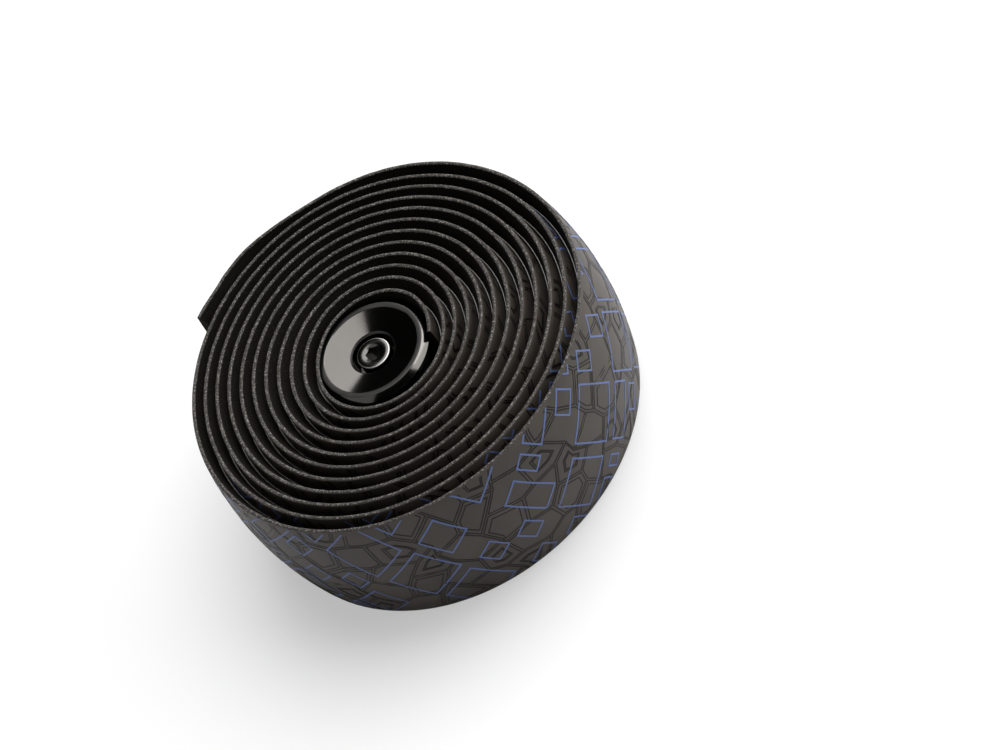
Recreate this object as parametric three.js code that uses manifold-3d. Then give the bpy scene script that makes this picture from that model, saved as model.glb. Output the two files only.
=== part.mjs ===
// A roll of handlebar tape standing on its end, with an expanding bar-end plug seated in its core.
// Millimetres, +Z up along the plug's axis. The origin is the centre of the roll's footprint.
// Radii and azimuths of the winding are taken about the plug's axis, azimuths anticlockwise from +X.
import * as THREE from "three";
import { mergeVertices } from "three/addons/utils/BufferGeometryUtils.js";
import Module from "manifold-3d";

const DEGREE = Math.PI / 180;

// Clearance between pieces that touch
const SEAT_GAP = 0.3;

// Tape section
const TAPE_WIDTH = 33;
const TAPE_THICKNESS = 2.1;
const LIP_THICKNESS = 0.95;
const BEVEL_WIDTH = 6;

// Winding
const TURNS = 10.73;
const START_AZIMUTH = 220 * DEGREE;
const TURN_AIR = 0.6;
const CORE_CENTRE = new THREE.Vector2(1.45, -0.94);
const MIDDLE_CENTRE = new THREE.Vector2(1.57, -0.62);
const RIM_CENTRE = new THREE.Vector2(1.94, -1.45);
const CORE_OVAL = { by: 0.53, at: 50 * DEGREE };
const RIM_OVAL = { by: 0.31, at: 11 * DEGREE };
const RIM_LOBES = { by: 0.3, at: -20 * DEGREE };
const BARREL = 1.82;
const CONE = 0.7;
const TAIL_LIFT = 0.93;
const TAIL_LIFT_ANGLE = 40 * DEGREE;
const CHORD_TOLERANCE = 0.1;

// Cap screw
const SCREW_RADIUS = 2;
const SCREW_LENGTH = 16;
const SCREW_TIP_CHAMFER = 0.4;
const HEAD_RADIUS = 3.5;
const HEAD_HEIGHT = 4;
const HEAD_CHAMFER = 0.35;
const SOCKET_ACROSS_FLATS = 3;
const SOCKET_DEPTH = 2;
const SOCKET_CHAMFER = 0.25;

// Expander sleeve
const SLEEVE_RADIUS = 9.4;
const SLEEVE_END = 19;
const SPIGOT_WALL = 1;
const FINGER_THICKNESS = 3.5;
const RIDGE_COUNT = 4;
const RIDGE_PITCH = 2.6;
const RIDGE_HEIGHT = 0.25;
const RIDGE_WIDTH = 1;
const SLOT_WIDTH = 2.4;
const SLOT_TOP = 10;
const SLOTTED_DIAMETERS = 2;

// Wedge nut
const WEDGE_TRAVEL = 1.4;
const WEDGE_BASE_INSET = 1.4;
const WEDGE_BASE_RADIUS = SLEEVE_RADIUS - WEDGE_BASE_INSET;
const WEDGE_CONE_RUN = 2.5;
const WEDGE_CONE_HEIGHT = 7.5;
const WEDGE_BASE_HEIGHT = 2;
const WEDGE_BELOW_SCREW = 0.5;
const KEY_HEIGHT = 8.5;
const KEY_RECESS = 0.5;

// Plug cap, from its land ring down
const LAND_DROP = 1.25;
const FLANGE_RADIUS = 12;
const FLANK_RUN = 0.9;
const FLANK_DEPTH = 0.9;
const FLANGE_EDGE = 0.9;
const FLANGE_CHAMFER = 0.2;
const LAND_WIDTH = 1.05;
const LAND_STEP = 0.1;
const DISH_DEPTH = 1.2;
const HEAD_DROP = 1.3;
const HEAD_AIR = 1;
const COUNTERBORE_RADIUS = HEAD_RADIUS + HEAD_AIR;
const COUNTERBORE_CHAMFER = 0.2;
const COUNTERBORE_FLOOR = HEAD_DROP + HEAD_HEIGHT + SEAT_GAP;
const FLOOR_THICKNESS = 2.2;
const SPIGOT_RADIUS = SLEEVE_RADIUS - SPIGOT_WALL - SEAT_GAP;
const SPIGOT_END = COUNTERBORE_FLOOR + FLOOR_THICKNESS;
const SPIGOT_CHAMFER = 0.4;

const ROUND_SEGMENTS = 64;
const SLEEVE_SEGMENTS = 48;

const wasm = await Module();
wasm.setup();

// A closed geometry as a solid that can be joined and cut.
function solidOf(geometry) {
  const bare = geometry.clone();
  bare.deleteAttribute("normal");
  bare.deleteAttribute("uv");
  const merged = mergeVertices(bare, 1e-4);
  return new wasm.Manifold(
    new wasm.Mesh({
      numProp: 3,
      vertProperties: new Float32Array(merged.attributes.position.array),
      triVerts: new Uint32Array(merged.index.array),
    }),
  );
}

// A solid's surface as a geometry with flat normals.
function geometryOf(solid) {
  const mesh = solid.getMesh();
  const geometry = new THREE.BufferGeometry();
  geometry.setAttribute("position", new THREE.BufferAttribute(mesh.vertProperties, 3));
  geometry.setIndex(new THREE.BufferAttribute(mesh.triVerts, 1));
  const flat = geometry.toNonIndexed();
  flat.computeVertexNormals();
  return flat;
}

// A profile of [radius, height] pairs turned about Z. A ring's profile ends on its first point.
function turned(profile, segments = ROUND_SEGMENTS) {
  const points = profile.map(([radius, height]) => new THREE.Vector2(radius, height));
  return new THREE.LatheGeometry(points, segments).rotateX(Math.PI / 2);
}

// Distance from the skin in to the inner face, at a depth below either edge of the tape.
function insetAt(depth) {
  const share = Math.min(depth / BEVEL_WIDTH, 1);
  return LIP_THICKNESS + (TAPE_THICKNESS - LIP_THICKNESS) * share;
}

const PITCH = TAPE_THICKNESS + TURN_AIR;
const FLANGE_UNDERSIDE = FLANK_DEPTH + FLANGE_EDGE;
const CORE_RADIUS = FLANGE_RADIUS + SEAT_GAP + insetAt(LAND_DROP + FLANGE_UNDERSIDE);
const WOUND_ANGLE = TURNS * 2 * Math.PI;

// Skin radius about the plug's axis at a wound angle from the start, at the tape's top edge:
// a spiral whose centre drifts from the core to the rim, a little oval, with a lifted tail.
function edgeRadius(wound) {
  const azimuth = START_AZIMUTH + wound;
  const share = wound / WOUND_ANGLE;
  const centre = new THREE.Vector2()
    .addScaledVector(CORE_CENTRE, (1 - share) * (1 - 2 * share))
    .addScaledVector(MIDDLE_CENTRE, 4 * share * (1 - share))
    .addScaledVector(RIM_CENTRE, share * (2 * share - 1));
  const drift = centre.x * Math.cos(azimuth) + centre.y * Math.sin(azimuth);
  const coreOval = CORE_OVAL.by * (1 - share) * Math.cos(2 * (azimuth - CORE_OVAL.at));
  const rimOval = RIM_OVAL.by * share * Math.cos(2 * (azimuth - RIM_OVAL.at));
  const lobes = RIM_LOBES.by * share ** 3 * Math.cos(3 * (azimuth - RIM_LOBES.at));
  const nearTail = Math.max(0, 1 - (WOUND_ANGLE - wound) / TAIL_LIFT_ANGLE);
  const lift = TAIL_LIFT * nearTail ** 2;
  return CORE_RADIUS + (PITCH * wound) / (2 * Math.PI) + drift + coreOval + rimOval + lobes + lift;
}

// How far the skin stands out from the top edge's radius at a height: the turns are thin at their
// edges, so each one is wound a little more barrel-shaped, and tighter at the bottom, than the last.
function crown(wound, height) {
  const share = wound / WOUND_ANGLE;
  const across = (2 * height) / TAPE_WIDTH - 1;
  return share * (BARREL * (1 - across ** 2) - CONE * (1 - height / TAPE_WIDTH));
}

// The tape's section at a wound angle: skin points upwards, then inner face points downwards.
function tapeSection(wound) {
  const azimuth = START_AZIMUTH + wound;
  const edge = edgeRadius(wound);
  const heights = [0, BEVEL_WIDTH, TAPE_WIDTH / 2, TAPE_WIDTH - BEVEL_WIDTH, TAPE_WIDTH];
  const at = (radius, height) =>
    new THREE.Vector3(radius * Math.cos(azimuth), radius * Math.sin(azimuth), height);
  const skin = heights.map((height) => at(edge + crown(wound, height), height));
  const inner = heights.map((height) => {
    const inset = insetAt(Math.min(height, TAPE_WIDTH - height));
    return at(edge + crown(wound, height) - inset, height);
  });
  return [...skin, ...inner.reverse()];
}

// Wound angles from start to tail, close enough for the chord tolerance at each radius.
function windingSteps() {
  const steps = [0];
  while (steps.at(-1) < WOUND_ANGLE) {
    const radius = CORE_RADIUS + (PITCH * steps.at(-1)) / (2 * Math.PI);
    steps.push(steps.at(-1) + Math.sqrt((8 * CHORD_TOLERANCE) / radius));
  }
  const stretch = WOUND_ANGLE / steps.at(-1);
  return steps.map((wound) => wound * stretch);
}

// Sections joined in order into one closed surface. A section's two halves face each other, so an
// end is closed by strips from one half to the other.
function loft(sections) {
  const count = sections[0].length;
  const faces = [];
  const quad = (a, b, c, d) => faces.push(a, b, c, a, c, d);
  for (let i = 0; i + 1 < sections.length; i++)
    for (let j = 0; j < count; j++) {
      const k = (j + 1) % count;
      quad(i * count + j, (i + 1) * count + j, (i + 1) * count + k, i * count + k);
    }
  const last = (sections.length - 1) * count;
  for (let j = 0; j + 1 < count / 2; j++) {
    quad(j, j + 1, count - 2 - j, count - 1 - j);
    quad(last + j, last + count - 1 - j, last + count - 2 - j, last + j + 1);
  }
  const positions = sections.flat().flatMap((point) => point.toArray());
  const geometry = new THREE.BufferGeometry();
  geometry.setAttribute("position", new THREE.Float32BufferAttribute(positions, 3));
  geometry.setIndex(faces);
  geometry.computeVertexNormals();
  return geometry;
}

function handlebarTape() {
  return loft(windingSteps().map(tapeSection));
}

// The cap: land ring, conical flank and flange outside, dish and counterbore inside, spigot below.
function endCap() {
  const landOuter = FLANGE_RADIUS - FLANK_RUN;
  const landInner = landOuter - LAND_WIDTH;
  const hole = SCREW_RADIUS + SEAT_GAP;
  const profile = [
    [hole, -SPIGOT_END],
    [SPIGOT_RADIUS - SPIGOT_CHAMFER, -SPIGOT_END],
    [SPIGOT_RADIUS, -SPIGOT_END + SPIGOT_CHAMFER],
    [SPIGOT_RADIUS, -FLANGE_UNDERSIDE],
    [FLANGE_RADIUS - FLANGE_CHAMFER, -FLANGE_UNDERSIDE],
    [FLANGE_RADIUS, -FLANGE_UNDERSIDE + FLANGE_CHAMFER],
    [FLANGE_RADIUS, -FLANK_DEPTH],
    [landOuter, 0],
    [landInner, 0],
    [landInner - LAND_STEP, -LAND_STEP],
    [COUNTERBORE_RADIUS + COUNTERBORE_CHAMFER, -DISH_DEPTH],
    [COUNTERBORE_RADIUS, -DISH_DEPTH - COUNTERBORE_CHAMFER],
    [COUNTERBORE_RADIUS, -COUNTERBORE_FLOOR],
    [hole, -COUNTERBORE_FLOOR],
    [hole, -SPIGOT_END],
  ];
  return turned(profile);
}

const HEAD_SEAT = -COUNTERBORE_FLOOR + SEAT_GAP;
const SCREW_TIP = HEAD_SEAT - SCREW_LENGTH;

function capScrew() {
  const top = HEAD_SEAT + HEAD_HEIGHT;
  const body = turned([
    [0, SCREW_TIP],
    [SCREW_RADIUS - SCREW_TIP_CHAMFER, SCREW_TIP],
    [SCREW_RADIUS, SCREW_TIP + SCREW_TIP_CHAMFER],
    [SCREW_RADIUS, HEAD_SEAT],
    [HEAD_RADIUS, HEAD_SEAT],
    [HEAD_RADIUS, top - HEAD_CHAMFER],
    [HEAD_RADIUS - HEAD_CHAMFER, top],
    [0, top],
  ]);
  const corner = SOCKET_ACROSS_FLATS / Math.sqrt(3);
  const hexagon = new THREE.CylinderGeometry(corner, corner, 2 * SOCKET_DEPTH, 6)
    .rotateX(Math.PI / 2)
    .translate(0, 0, top);
  const mouth = turned([
    [0, top - corner],
    [corner + SOCKET_CHAMFER, top + SOCKET_CHAMFER],
    [0, top + SOCKET_CHAMFER],
  ]);
  return geometryOf(solidOf(body).subtract(solidOf(hexagon)).subtract(solidOf(mouth)));
}

const WEDGE_BOTTOM = SCREW_TIP - WEDGE_BELOW_SCREW;
const CONE_BOTTOM = WEDGE_BOTTOM + WEDGE_BASE_HEIGHT;
const CONE_TOP = CONE_BOTTOM + WEDGE_CONE_HEIGHT;
const CONE_SLOPE = WEDGE_CONE_RUN / WEDGE_CONE_HEIGHT;

// A cone with a short cylindrical base, a hole for the screw and two keys.
function wedgeNut() {
  const cone = turned([
    [0, WEDGE_BOTTOM],
    [WEDGE_BASE_RADIUS, WEDGE_BOTTOM],
    [WEDGE_BASE_RADIUS, CONE_BOTTOM],
    [WEDGE_BASE_RADIUS - WEDGE_CONE_RUN, CONE_TOP],
    [0, CONE_TOP],
  ]);
  const keyLength = 2 * (SLEEVE_RADIUS - KEY_RECESS);
  const keys = new THREE.BoxGeometry(keyLength, SLOT_WIDTH - 2 * SEAT_GAP, KEY_HEIGHT).translate(
    0,
    0,
    WEDGE_BOTTOM + KEY_HEIGHT / 2,
  );
  const hole = new THREE.CylinderGeometry(
    SCREW_RADIUS + SEAT_GAP,
    SCREW_RADIUS + SEAT_GAP,
    4 * WEDGE_CONE_HEIGHT,
    ROUND_SEGMENTS,
  )
    .rotateX(Math.PI / 2)
    .translate(0, 0, CONE_BOTTOM);
  return geometryOf(solidOf(cone).add(solidOf(keys)).subtract(solidOf(hole)));
}

// The sleeve's outside, upwards: plain at its slotted end, then grip ridges.
function sleeveOutside() {
  const top = -FLANGE_UNDERSIDE - SEAT_GAP;
  const points = [[SLEEVE_RADIUS, -SLEEVE_END]];
  for (let i = 0; i < RIDGE_COUNT; i++) {
    const low = -SLEEVE_END + RIDGE_PITCH * (i + 0.5);
    points.push([SLEEVE_RADIUS, low]);
    points.push([SLEEVE_RADIUS + RIDGE_HEIGHT, low + RIDGE_WIDTH / 2]);
    points.push([SLEEVE_RADIUS, low + RIDGE_WIDTH]);
  }
  points.push([SLEEVE_RADIUS, top]);
  return points;
}

// A sleeve that is bored for the spigot above and opens below in a cone, cut into fingers.
function expanderSleeve() {
  const top = -FLANGE_UNDERSIDE - SEAT_GAP;
  const shoulder = -SPIGOT_END - SEAT_GAP;
  const bore = SLEEVE_RADIUS - FINGER_THICKNESS;
  const air = SEAT_GAP + WEDGE_TRAVEL * CONE_SLOPE;
  const mouth = WEDGE_BASE_RADIUS + air - CONE_SLOPE * (-SLEEVE_END - CONE_BOTTOM);
  const mouthTop = -SLEEVE_END + (mouth - bore) / CONE_SLOPE;
  const profile = [
    [mouth, -SLEEVE_END],
    ...sleeveOutside(),
    [SPIGOT_RADIUS + SEAT_GAP, top],
    [SPIGOT_RADIUS + SEAT_GAP, shoulder],
    [bore, shoulder],
    [bore, mouthTop],
    [mouth, -SLEEVE_END],
  ];
  let sleeve = solidOf(turned(profile, SLEEVE_SEGMENTS));
  const slotHeight = 2 * (SLEEVE_END - SLOT_TOP);
  for (let i = 0; i < SLOTTED_DIAMETERS; i++) {
    const slot = new THREE.BoxGeometry(3 * SLEEVE_RADIUS, SLOT_WIDTH, slotHeight)
      .rotateZ((i * Math.PI) / SLOTTED_DIAMETERS)
      .translate(0, 0, -SLEEVE_END);
    sleeve = sleeve.subtract(solidOf(slot));
  }
  return geometryOf(sleeve);
}

function finish(color, roughness, metalness) {
  return new THREE.MeshStandardMaterial({ color, roughness, metalness });
}

function named(name, geometry, material) {
  const mesh = new THREE.Mesh(geometry, material);
  mesh.name = name;
  return mesh;
}

// The plug's pieces share one frame, with its origin at the middle of the land ring.
function barEndPlug() {
  const anodised = finish(0x0b0b0c, 0.25, 1);
  const steel = finish(0x3a3a3d, 0.3, 1);
  const plastic = finish(0x161616, 0.6, 0);
  const plug = new THREE.Group();
  plug.add(named("end_cap", endCap(), anodised));
  plug.add(named("cap_screw", capScrew(), steel));
  plug.add(named("expander_sleeve", expanderSleeve(), plastic));
  plug.add(named("wedge_nut", wedgeNut(), steel));
  plug.position.z = TAPE_WIDTH - LAND_DROP;
  return plug;
}

const roll = new THREE.Group();
roll.add(named("handlebar_tape", handlebarTape(), finish(0x57524d, 0.55, 0)));
roll.add(barEndPlug());
const footprint = new THREE.Box3().setFromObject(roll).getCenter(new THREE.Vector3());
roll.position.set(-footprint.x, -footprint.y, 0);

export default roll;
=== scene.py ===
"""A roll of handlebar tape standing on its end, with an expanding bar-end plug seated in its core.

The tape is one strip carried along a spiral: a smooth printed skin outside, rough cut lips at both
edges, bevels and a thin film inside. Its print is real thin line work just proud of the skin. The
plug is turned metal with a socket-head screw. Sizes are in millimetres and are turned into metres
where a mesh is made. Radii and azimuths are taken about the plug's axis.
"""

from __future__ import annotations

import logging
import math
from dataclasses import dataclass
from enum import Enum
from typing import Sequence

import bpy
import numpy as np
from mathutils import Matrix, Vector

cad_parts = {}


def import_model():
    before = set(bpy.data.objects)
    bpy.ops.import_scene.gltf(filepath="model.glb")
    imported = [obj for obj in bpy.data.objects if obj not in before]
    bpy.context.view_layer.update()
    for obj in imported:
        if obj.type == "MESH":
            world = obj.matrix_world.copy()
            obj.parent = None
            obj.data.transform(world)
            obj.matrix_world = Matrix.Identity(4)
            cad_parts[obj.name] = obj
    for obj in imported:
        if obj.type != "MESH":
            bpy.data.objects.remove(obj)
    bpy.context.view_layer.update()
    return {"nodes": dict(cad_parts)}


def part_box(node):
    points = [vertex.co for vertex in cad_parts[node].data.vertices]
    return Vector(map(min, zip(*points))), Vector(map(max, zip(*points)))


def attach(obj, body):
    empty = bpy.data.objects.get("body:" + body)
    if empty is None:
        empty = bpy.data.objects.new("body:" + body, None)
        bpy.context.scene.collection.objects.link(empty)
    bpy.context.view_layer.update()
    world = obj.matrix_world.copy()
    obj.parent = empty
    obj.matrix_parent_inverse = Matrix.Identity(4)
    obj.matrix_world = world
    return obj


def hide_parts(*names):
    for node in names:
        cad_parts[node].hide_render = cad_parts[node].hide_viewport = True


LOG = logging.getLogger("tape_roll")
MM = 0.001
FLOAT, VECTOR = "NodeSocketFloat", "NodeSocketVector"
FULL_TURN = 2 * math.pi
Array = np.ndarray


class Zone(Enum):
    """The finishes of the tape's section, in the order of the strip's material slots."""

    SKIN = 0
    CUT = 1
    # The back's faces: dark foam, darkened further to near black as painted shade in the gaps
    # between turns.
    BACK_PAINTED_SHADE = 2


class Ink(Enum):
    """The two printed lines on the skin."""

    BLUE = "blue"
    BLACK = "black"


def new_piece(name: str, points: Array, faces: list, smooth: bool = True) -> bpy.types.Object:
    """Make a mesh object at the origin from points in millimetres.

    Args:
        name: The piece's name.
        points: Corner positions, one row each, in millimetres.
        faces: Corner numbers of each face.
        smooth: Whether faces are shaded smooth.

    Returns:
        The new object, linked to the scene.
    """
    mesh = bpy.data.meshes.new(name)
    mesh.from_pydata((points * MM).tolist(), [], faces)
    mesh.validate()
    mesh.polygons.foreach_set("use_smooth", np.full(len(mesh.polygons), smooth))
    piece = bpy.data.objects.new(name, mesh)
    bpy.context.scene.collection.objects.link(piece)
    return piece


def grid_faces(rows: int, columns: int, wrap_rows: bool, wrap_columns: bool) -> Array:
    """Quads of a grid whose corner (i, j) has the number i * columns + j.

    Args:
        rows: Number of rows of corners.
        columns: Number of corners in a row.
        wrap_rows: Whether the last row joins the first.
        wrap_columns: Whether the last corner of a row joins its first.

    Returns:
        One row of four corner numbers for each quad.
    """
    i = np.arange(rows if wrap_rows else rows - 1)[:, None]
    j = np.arange(columns if wrap_columns else columns - 1)[None, :]
    k, m = (i + 1) % rows, (j + 1) % columns
    corners = (i * columns + j, k * columns + j, k * columns + m, i * columns + m)
    return np.stack(np.broadcast_arrays(*corners), axis=-1).reshape(-1, 4)


def smooth_by_angle(piece: bpy.types.Object, degrees: float) -> None:
    """Mark edges sharper than an angle as sharp, so that smooth shading stops at them."""
    piece.data.set_sharp_from_angle(angle=math.radians(degrees))


def towards(azimuth: Array | float, elevation: Array | float) -> Array:
    """Unit directions: the azimuth's cosine and sine times the elevation's cosine, and its sine.

    Args:
        azimuth: Angles from +X towards +Y, in degrees.
        elevation: Angles above the floor, in degrees.

    Returns:
        The directions, with x, y and z on a new last axis.
    """
    turn, tilt = np.radians(azimuth), np.radians(elevation)
    parts = (np.cos(turn) * np.cos(tilt), np.sin(turn) * np.cos(tilt), np.sin(tilt))
    return np.stack(np.broadcast_arrays(*parts), axis=-1)


@dataclass(frozen=True)
class TapeSection:
    """The tape's cross-section: skin outside, round lips at both edges and bevels inside."""

    width: float = 33.0
    lip: float = 0.8
    bevel: float = 4.0
    least: float = 0.4
    most: float = 2.5
    air: float = 0.25
    skin_fold: float = 0.3
    inner_fold: float = 0.4


@dataclass(frozen=True)
class Oval:
    """How far a round outline is drawn out, and towards which azimuth."""

    by: float
    at: float


@dataclass(frozen=True)
class Bulge:
    """A place where the tape stands out, or in: by how much, after how many turns, how broad."""

    by: float
    turns: float
    breadth: float


@dataclass(frozen=True)
class Winding:
    """The spiral that the tape's skin follows, about the plug's axis.

    The first full turn starts at the wound angle 0, and the tape's inner end lies before it. There
    the soft tape is squeezed round the plug's flange, and its top edge leans in over the flank.
    """

    flange_radius: float
    axis: tuple[float, float]
    section: TapeSection = TapeSection()
    skin_beyond_flange: float = 1.835
    flange_air: float = 0.08
    lean_from: float = 0.4
    lean_to: float = 1.7
    lead: float = math.radians(253)
    turns: float = 10.73
    start_azimuth: float = math.radians(220)
    pitch: float = 2.7
    core_centre: tuple[float, float] = (1.45, -0.94)
    middle_centre: tuple[float, float] = (1.57, -0.62)
    rim_centre: tuple[float, float] = (1.94, -1.45)
    core_oval: Oval = Oval(0.53, math.radians(50))
    rim_oval: Oval = Oval(0.31, math.radians(11))
    rim_lobes: Oval = Oval(0.3, math.radians(-20))
    barrel: float = 1.82
    cone: float = 0.7
    bulges: tuple[Bulge, ...] = (
        Bulge(-0.4, -0.42, 0.1),
        Bulge(0.7, 0.2, 0.13),
        Bulge(0.47, 10.513, 0.067),
        Bulge(-0.26, 10.608, 0.025),
        Bulge(1.12, 10.674, 0.039),
        Bulge(1.1, 10.736, 0.025),
    )
    stations: int = 12000

    @property
    def wound(self) -> float:
        """The whole wound angle, from the inner end to the tail."""
        return self.turns * FULL_TURN

    def edge_radius(self, wound: Array) -> Array:
        """Skin radius at the top edge.

        A spiral, plus a centre that drifts along a parabola from the core to the rim, plus a small
        oval and three lobes, plus a bell curve at each bulge.

        Args:
            wound: Wound angles from the inner end.

        Returns:
            One radius for each angle.
        """
        azimuth = self.start_azimuth + wound
        share = wound / self.wound
        weights = ((1 - share) * (1 - 2 * share), 4 * share * (1 - share), share * (2 * share - 1))
        centres = (self.core_centre, self.middle_centre, self.rim_centre)
        x = sum(weight * centre[0] for weight, centre in zip(weights, centres))
        y = sum(weight * centre[1] for weight, centre in zip(weights, centres))
        core = self.core_oval.by * (1 - share) * np.cos(2 * (azimuth - self.core_oval.at))
        rim = self.rim_oval.by * share * np.cos(2 * (azimuth - self.rim_oval.at))
        lobes = self.rim_lobes.by * share**3 * np.cos(3 * (azimuth - self.rim_lobes.at))
        turns = wound / FULL_TURN
        bulges = sum(
            bulge.by * np.exp(-(((turns - bulge.turns) / bulge.breadth) ** 2))
            for bulge in self.bulges
        )
        spiral = self.flange_radius + self.skin_beyond_flange + self.pitch * turns
        drift = x * np.cos(azimuth) + y * np.sin(azimuth)
        return spiral + drift + core + rim + lobes + bulges

    @property
    def hole_radius(self) -> float:
        """Radius that the tape's inner face keeps clear for the plug."""
        return self.flange_radius + self.flange_air

    def held_radius(self, wound: Array) -> Array:
        """Skin radius below the top edge, where the flange holds the tape out."""
        return np.maximum(self.edge_radius(wound), self.hole_radius + self.section.least)

    def thickness(self, wound: Array) -> Array:
        """Thickness at the middle of the width.

        The foam fills the room down to the turn inside it, less a little air, up to its free
        thickness. Where no turn lies inside it, it fills the room down to the plug.

        Args:
            wound: Wound angles from the start of the first full turn.

        Returns:
            One thickness for each angle.
        """
        size, inner = self.section, wound - FULL_TURN
        within = np.where(inner < -self.lead, self.hole_radius, self.held_radius(inner) + size.air)
        return np.clip(self.held_radius(wound) - within, size.least, size.most)

    def crown(self, wound: Array, height: Array) -> Array:
        """How far the skin stands out at a height.

        A parabola across the width, less a slight cone, and both grow evenly with the wound angle.

        Args:
            wound: Wound angles.
            height: Heights above the surface that the roll stands on.

        Returns:
            Distances outwards.
        """
        across = 2 * height / self.section.width - 1
        cone = self.cone * (1 - height / self.section.width)
        return wound / self.wound * (self.barrel * (1 - across**2) - cone)

    def place(self, wound: Array, height: Array, inset: Array) -> Array:
        """Points of the roll.

        Args:
            wound: Wound angles.
            height: Heights above the surface that the roll stands on.
            inset: Distances inwards from the skin.

        Returns:
            Positions in millimetres, with x, y and z on a new last axis.
        """
        edge = self.edge_radius(wound)
        depth = self.section.width - height
        lean = np.clip((self.lean_to - depth) / (self.lean_to - self.lean_from), 0, 1)
        held = self.held_radius(wound)
        radius = held + (edge - held) * lean + self.crown(wound, height) - inset
        azimuth = self.start_azimuth + wound
        x = self.axis[0] + radius * np.cos(azimuth)
        y = self.axis[1] + radius * np.sin(azimuth)
        return np.stack(np.broadcast_arrays(x, y, height), axis=-1)

    def lengths(self) -> tuple[Array, Array]:
        """The length of tape wound up to each angle, as a sum of short chords.

        Returns:
            Wound angles, and the lengths up to them at the middle of the width.
        """
        wound = np.linspace(-self.lead, self.wound, self.stations)
        half = np.full_like(wound, self.section.width / 2)
        steps = np.linalg.norm(np.diff(self.place(wound, half, 0.0), axis=0), axis=1)
        return wound, np.concatenate([[0.0], np.cumsum(steps)])


class NodeBench:
    """Adds nodes to a tree and links them, so that a finish reads as a few plain lines."""

    def __init__(self, tree: bpy.types.NodeTree) -> None:
        """Keep the tree that nodes are added to."""
        self.tree = tree

    def add(self, kind: str, inputs: dict | None = None, **settings: object) -> bpy.types.Node:
        """Add a node.

        Args:
            kind: The node's type name.
            inputs: Value or socket for each input, by name or number.
            settings: The node's own settings.

        Returns:
            The new node.
        """
        node = self.tree.nodes.new(kind)
        for name, value in settings.items():
            setattr(node, name, value)
        for name, value in (inputs or {}).items():
            self.feed(node.inputs[name], value)
        return node

    def feed(self, socket: bpy.types.NodeSocket, value: object) -> None:
        """Link a socket to an input, or set the input's value."""
        if isinstance(value, bpy.types.NodeSocket):
            self.tree.links.new(value, socket)
        else:
            socket.default_value = value

    def place(self) -> bpy.types.NodeSocket:
        """The Object coordinates, in metres."""
        return self.add("ShaderNodeTexCoord").outputs["Object"]

    def math(self, operation: str, *values: object) -> bpy.types.NodeSocket:
        """The result of one arithmetic step."""
        return self.add("ShaderNodeMath", dict(enumerate(values)), operation=operation).outputs[0]

    def mix(self, factor: object, first: object, second: object) -> bpy.types.NodeSocket:
        """A colour between two colours.

        Args:
            factor: The second colour's share.
            first: A colour or its socket.
            second: A colour or its socket.

        Returns:
            The mixed colour's socket.
        """
        node = self.add("ShaderNodeMix", data_type="RGBA")
        for number, value in ((0, factor), (6, first), (7, second)):
            self.feed(node.inputs[number], value)
        return node.outputs[2]

    def ramp(self, factor: object, low: float, high: float) -> bpy.types.NodeSocket:
        """A value stretched from 0 at low to 1 at high, clamped and smooth."""
        inputs = {"Value": factor, "From Min": low, "From Max": high}
        settings = {"interpolation_type": "SMOOTHSTEP"}
        return self.add("ShaderNodeMapRange", inputs, **settings).outputs["Result"]

    def noise(self, vector: object, scale: float, detail: float = 3.0) -> bpy.types.NodeSocket:
        """A cloudy value about 0.5, with the given number of cells in a metre."""
        inputs = {"Vector": vector, "Scale": scale, "Detail": detail}
        return self.add("ShaderNodeTexNoise", inputs).outputs["Fac"]


def effect_group(
    name: str, inputs: Sequence[tuple[str, str, float]], outputs: Sequence[tuple[str, str]]
) -> tuple[bpy.types.NodeTree, NodeBench, bpy.types.Node, bpy.types.Node]:
    """Start a shader node group.

    Args:
        name: The group's name.
        inputs: Name, socket type and default of each input.
        outputs: Name and socket type of each output.

    Returns:
        The tree, a bench for it, its input node and its output node.
    """
    tree = bpy.data.node_groups.new(name, "ShaderNodeTree")
    for label, kind, default in inputs:
        socket = tree.interface.new_socket(label, in_out="INPUT", socket_type=kind)
        if kind == "NodeSocketFloat":
            socket.default_value = default
    for label, kind in outputs:
        tree.interface.new_socket(label, in_out="OUTPUT", socket_type=kind)
    bench = NodeBench(tree)
    return tree, bench, bench.add("NodeGroupInput"), bench.add("NodeGroupOutput")


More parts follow.
